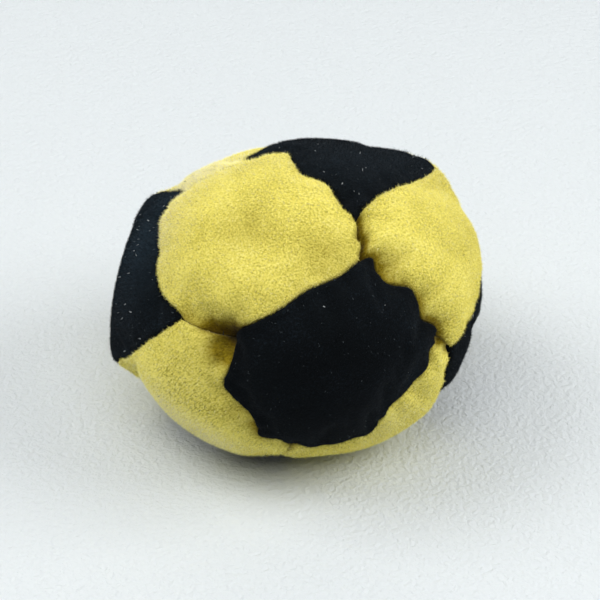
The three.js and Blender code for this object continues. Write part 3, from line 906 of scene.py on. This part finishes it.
def nap_tree():
    tree = bpy.data.node_groups.new("suede nap", "GeometryNodeTree")
    add = partial(add_node, tree)
    for name, kind in NAP_INPUTS.items():
        tree.interface.new_socket(name, in_out="INPUT", socket_type=f"NodeSocket{kind}")
    tree.interface.new_socket("Nap", in_out="OUTPUT", socket_type="NodeSocketGeometry")
    given = add("NodeGroupInput").outputs
    from_seam, rubbed, combed, dye = (
        add("GeometryNodeInputNamedAttribute", {"Name": mark}, data_type="FLOAT")
        for mark in ("seam_distance", "rubbed", "combed", "dye")
    )
    brushed, cut_map = (
        add("GeometryNodeInputNamedAttribute", {"Name": mark}, data_type="FLOAT_VECTOR")
        for mark in ("nap_lie", "cut")
    )
    place = add("ShaderNodeSeparateXYZ", {0: add("GeometryNodeInputPosition")})
    off_table = add("ShaderNodeMapRange", {"Value": place.outputs["Z"], **OFF_TABLE})
    # Fibres thin out where the mark of rubbing and painted shade is strong, so the darkened suede shows.
    unrubbed_unshaded = add("ShaderNodeMapRange", {"Value": rubbed, **RUBBED_AND_SHADED_BARE})
    density = add("ShaderNodeMapRange", {"Value": from_seam, **BARE_RIM})
    for share in (off_table, unrubbed_unshaded, given["Fibres per square metre"]):
        density = add("ShaderNodeMath", {0: density, 1: share}, operation="MULTIPLY")
    roots = add("GeometryNodeDistributePointsOnFaces",
                {"Mesh": given["Panel"], "Density": density, "Seed": given["Seed"]})
    stray = add("FunctionNodeRandomValue",
                {"Min": (-STRAY_LEAN,) * 3, "Max": (STRAY_LEAN,) * 3, "Seed": LEAN_SEED},
                data_type="FLOAT_VECTOR")
    leaning = add("ShaderNodeVectorMath", {0: brushed, 1: (BRUSHED_LEAN,) * 3, 2: stray},
                  operation="MULTIPLY_ADD")
    upright = add("ShaderNodeVectorMath", {0: roots.outputs["Normal"], 1: (UPRIGHTNESS,) * 3, 2: leaning},
                  operation="MULTIPLY_ADD")
    turned = add("FunctionNodeAlignRotationToVector", {"Vector": upright}, axis="Z")
    half_width = add("ShaderNodeMath", {0: given["Width"], 1: 0.5}, operation="MULTIPLY")
    fibre = add("GeometryNodeMeshCone",
                {"Vertices": 3, "Radius Top": 0.0, "Radius Bottom": half_width, "Depth": given["Length"]},
                fill_type="NGON")
    draw = add("FunctionNodeRandomValue", {2: 0.0, 3: 1.0, "Seed": DYE_SEED}, data_type="FLOAT")
    parted = row_furrows(tree, cut_map, combed)
    clumps = add("ShaderNodeTexNoise", {"Vector": cut_map, "Scale": 1 / CLUMP_SIZE, "Detail": 1})
    depth = add("ShaderNodeMath", {0: clumps, 1: CLUMP_DYE, 2: CLUMP_DYE_START}, operation="MULTIPLY_ADD")
    # Through the rubbed mark, painted shade makes fibres darker and painted sheen makes them paler.
    for source, share in ((draw.outputs[1], CHANCE_DYE), (parted, ROW_DYE), (rubbed, RUBBED_SHADED_SHEEN_DYE)):
        depth = add("ShaderNodeMath", {0: source, 1: share, 2: depth}, operation="MULTIPLY_ADD")
    dyed = add("GeometryNodeStoreNamedAttribute", {"Geometry": roots, "Name": "dye", "Value": depth},
               data_type="FLOAT", domain="POINT")
    lengths = add("ShaderNodeMapRange", {"Value": dye, **DYE_LENGTHS})
    frayed = add("ShaderNodeMapRange", {"Value": from_seam, **FRAYED_RIM})
    sizes = add("ShaderNodeMath", {0: lengths, 1: frayed}, operation="MULTIPLY")
    planted = add("GeometryNodeInstanceOnPoints",
                  {"Points": dyed, "Instance": fibre, "Rotation": turned, "Scale": sizes})
    whole = add("GeometryNodeRealizeInstances", {"Geometry": planted})
    shaded = add("GeometryNodeSetMaterial", {"Geometry": whole, "Material": given["Plain"]})
    for shade, test, limit in SHADE_LIMITS:
        chosen = add("FunctionNodeCompare", {0: dye, 1: limit}, operation=test)
        shaded = add("GeometryNodeSetMaterial",
                     {"Geometry": shaded, "Selection": chosen, "Material": given[shade]})
    add("NodeGroupOutput", {"Nap": shaded})
    return tree


suede_nap = nap_tree()
print("nodes in the nap's tree:", len(suede_nap.nodes))

# %% [markdown]
# A tree works on a piece through a modifier, whose inputs go by identifiers. Its result is kept as a plain
# mesh in an object of its own. Real suede fibres are several times thinner and far more crowded, but a
# coarser nap looks the same from here.

# %% The nap on each panel
FIBRES_PER_SQUARE_MM = 30
FIBRE_LENGTH = 0.36 * MM
FIBRE_WIDTH = 0.05 * MM


def grown(name, tree, source, inputs):
    """The tree's result on a copy of a piece."""
    holder = link_object("holder", source.data.copy())
    growth = holder.modifiers.new("growth", "NODES")
    growth.node_group = tree
    for item in tree.interface.items_tree:
        if item.in_out == "INPUT" and item.name in inputs:
            growth[item.identifier] = inputs[item.name]
    mesh = finished_mesh(holder)
    mesh.name = name
    bpy.data.objects.remove(holder)
    return link_object(name, mesh)


def plant(name, panel, shades, seed, per_square_mm, length, width):
    """Fibres on a panel, as a piece of its own, attached to the root."""
    inputs = dict(zip(("Sheen_pale", "Pale", "Plain", "Dark"), shades))
    inputs |= {"Seed": seed, "Length": length, "Width": width}
    inputs["Fibres per square metre"] = per_square_mm / MM**2
    planted = grown(name, suede_nap, panel_objects[panel], inputs)
    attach(planted, "root")
    return planted


nap_faces = 0
for number, panel in enumerate(panel_objects):
    shades = black_fibres if panel in SIDES else yellow_fibres
    nap = plant(f"{panel_colour(panel)}_nap_{panel}", panel, shades, number,
                FIBRES_PER_SQUARE_MM, FIBRE_LENGTH, FIBRE_WIDTH)
    nap_faces += len(nap.data.polygons)
print("nap faces:", nap_faces)

# %% [markdown]
# Suede also picks up what floats about: short white lint shows on the black panels, and a few black fibres
# from the cut edges stick to the yellow ones. The same tree scatters them, far apart. They too are drawn
# thicker than real ones, so that they show.

# %% Lint
LINT_PER_SQUARE_MM = {"black": 0.2, "yellow": 0.02}
LINT_LENGTH = 0.35 * MM
LINT_WIDTH = 0.1 * MM
LINT_FIRST_SEED = 100
# As in the nap, the first lint shade goes where painted sheen is.
LINT_SHADES = {"light grey": "#626A6E", "white": "#D2D8DA", "grey": "#4C5458", "dark grey": "#262C30"}

lint_shades = fibre_shades("cotton lint", LINT_SHADES, "#FFFFFF", 0.1)
for number, panel in enumerate(panel_objects):
    shades = lint_shades if panel in SIDES else black_fibres
    plant(f"lint_on_{panel}", panel, shades, LINT_FIRST_SEED + number,
          LINT_PER_SQUARE_MM[panel_colour(panel)], LINT_LENGTH, LINT_WIDTH)
print("lint on", len(panel_objects), "panels")

# %% [markdown]
# Thread and filling are inside the bag, where nothing shows them unless it is opened. The threads stay as
# they are and get their own finish. The pellets slide away from where the skin is pressed in, so their
# mass is drawn in a little.

# %% Thread and filling
PELLETS_SHARE = 0.9
WELD_DISTANCE = 0.001 * MM
PELLET_SIZE = 3 * MM
PELLET_RELIEF = 1 * MM
PLY_SIZE = 0.3 * MM


def mottled(name, texture, size, first, last, roughness):
    """A finish whose colour runs from the first to the last over a texture, with its tree and nodes."""
    finish, tree, shader = new_finish(name)
    add = partial(add_node, tree)
    place = add("ShaderNodeTexCoord").outputs["Object"]
    mottle = add(texture, {"Vector": place, "Scale": 1 / size})
    tone = add("ShaderNodeValToRGB", {"Fac": mottle})
    for stop, colour in zip(tone.color_ramp.elements, (first, last)):
        stop.color = linear(colour)
    set_inputs(tree, shader, {"Base Color": tone, "Roughness": roughness})
    return finish, tree, shader, mottle


# Waxed thread is dark with a dull shine, a little uneven where its plies twist.
thread_finish, *_ = mottled(
    "waxed polyester thread", "ShaderNodeTexNoise", PLY_SIZE, "#16181A", "#33373A", 0.55)
threads = [solid for name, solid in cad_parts.items() if name.startswith("thread_")]
for thread in threads:
    thread.data.materials.clear()
    thread.data.materials.append(thread_finish)

# Pellets look like a heap of milky beads, with shade between them.
pellet_finish, pellet_tree, pellet_shader, beads = mottled(
    "polyethylene pellets", "ShaderNodeTexVoronoi", PELLET_SIZE, "#E4E4DE", "#8E8E86", 0.4)
bead_relief = add_node(pellet_tree, "ShaderNodeBump",
                       {"Height": beads, "Strength": 0.8, "Distance": PELLET_RELIEF}, invert=True)
set_inputs(pellet_tree, pellet_shader, {"Normal": bead_relief})

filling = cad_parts["filling"]
pellet_mesh = filling.data.copy()
pellet_mesh.transform(filling.matrix_world)
joined = bmesh.new()
joined.from_mesh(pellet_mesh)
bmesh.ops.remove_doubles(joined, verts=joined.verts, dist=WELD_DISTANCE)
joined.to_mesh(pellet_mesh)
joined.free()
heart = Matrix.Translation((0, 0, BALL_MIDDLE_HEIGHT * MM))
pellet_mesh.transform(heart @ Matrix.Scale(PELLETS_SHARE, 4) @ heart.inverted())
pellet_mesh.materials.clear()
pellet_mesh.materials.append(pellet_finish)
pellets = link_object("settled_pellets", pellet_mesh)
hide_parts("filling")
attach(pellets, "root")
print("threads:", len(threads))

# %% [markdown]
# The bag was photographed from about 35 degrees above, on a white surface with a fine leather grain, in
# soft light from the front and both sides. The floor is one plane with that grain as bump. Large lamps
# give soft edges to the shadow, a weak one behind keeps the back from going dark, and the world is white
# where the camera sees it and dim as a light.

# %% Floor
FLOOR_SIZE = 3.0
FLOOR_GRAIN_SIZE = 0.9 * MM
FLOOR_RELIEF = 0.4 * MM

floor_mesh = bpy.data.meshes.new("floor")
floor_half = FLOOR_SIZE / 2
floor_corners = [(x * floor_half, y * floor_half, 0) for x, y in ((-1, -1), (1, -1), (1, 1), (-1, 1))]
floor_mesh.from_pydata(floor_corners, [], [(0, 1, 2, 3)])
floor = link_object("floor", floor_mesh)
# Board with an embossed grain: nearly white, hardly shiny, with small soft shades in its hollows.
floor_finish, floor_tree, floor_shader = new_finish("white grained board")
floor_place = add_node(floor_tree, "ShaderNodeTexCoord").outputs["Object"]
floor_grain = add_node(floor_tree, "ShaderNodeTexNoise",
                       {"Vector": floor_place, "Scale": 1 / FLOOR_GRAIN_SIZE, "Detail": 2,
                        "Distortion": 0.4})
floor_relief = add_node(floor_tree, "ShaderNodeBump",
                        {"Height": floor_grain, "Strength": 0.8, "Distance": FLOOR_RELIEF})
set_inputs(floor_tree, floor_shader,
           {"Normal": floor_relief, "Base Color": linear("#D4D9DB"), "Roughness": 0.7})
floor_mesh.materials.append(floor_finish)
print("floor:", FLOOR_SIZE, "m across")

# %% Light
WORLD_LIGHT = 0.19
# Each lamp's place and width in metres, and its power in watts.
LAMPS = {
    "front": ((0, -0.25, 0.58), 0.5, 1.75),
    "left": ((-0.4, 0.05, 0.5), 0.4, 2.2),
    "right": ((0.48, -0.02, 0.35), 0.36, 2.2),
    "back": ((0, 0.4, 0.4), 0.4, 0.3),
}

world = bpy.data.worlds.new("studio")
world.use_nodes = True
scene.world = world
sky = world.node_tree
background = sky.nodes["Background"]
set_inputs(sky, background, {"Color": linear("#F6F9FA"), "Strength": WORLD_LIGHT})
seen_white = add_node(sky, "ShaderNodeBackground", {"Color": linear("#F2F5F6"), "Strength": 1})
path = add_node(sky, "ShaderNodeLightPath").outputs
mirrored = add_node(sky, "ShaderNodeMath", {0: path["Is Glossy Ray"], 1: path["Is Transmission Ray"]},
                    operation="MAXIMUM")
shown = add_node(sky, "ShaderNodeMath", {0: path["Is Camera Ray"], 1: mirrored}, operation="MAXIMUM")
choice = add_node(sky, "ShaderNodeMixShader", {0: shown, 1: background, 2: seen_white})
set_inputs(sky, sky.nodes["World Output"], {"Surface": choice})

for name, (place, width, power) in LAMPS.items():
    light = bpy.data.lights.new(name, "AREA")
    light.size = width
    light.energy = power
    lamp = link_object(name, light)
    lamp.location = place
    lamp.rotation_mode = "QUATERNION"
    lamp.rotation_quaternion = (-Vector(place)).to_track_quat("-Z", "Y")
print("lamps:", len(LAMPS))

# %% Camera
VIEW_ELEVATION = math.radians(35)
VIEW_DISTANCE = 0.4
AIM = Vector((0.5, 0, 18.6)) * MM
LENS_MM = 157
SENSOR_MM = 36
NEAREST_SEEN = 0.01

camera = link_object("camera", bpy.data.cameras.new("camera"))
camera.data.lens = LENS_MM
camera.data.sensor_width = SENSOR_MM
camera.data.clip_start = NEAREST_SEEN
towards_camera = Vector((0, -math.cos(VIEW_ELEVATION), math.sin(VIEW_ELEVATION)))
camera.location = AIM + towards_camera * VIEW_DISTANCE
camera.rotation_mode = "QUATERNION"
camera.rotation_quaternion = towards_camera.to_track_quat("Z", "Y")
scene.camera = camera
scene.view_settings.view_transform = "Standard"
print("camera at", [round(x, 3) for x in camera.location])
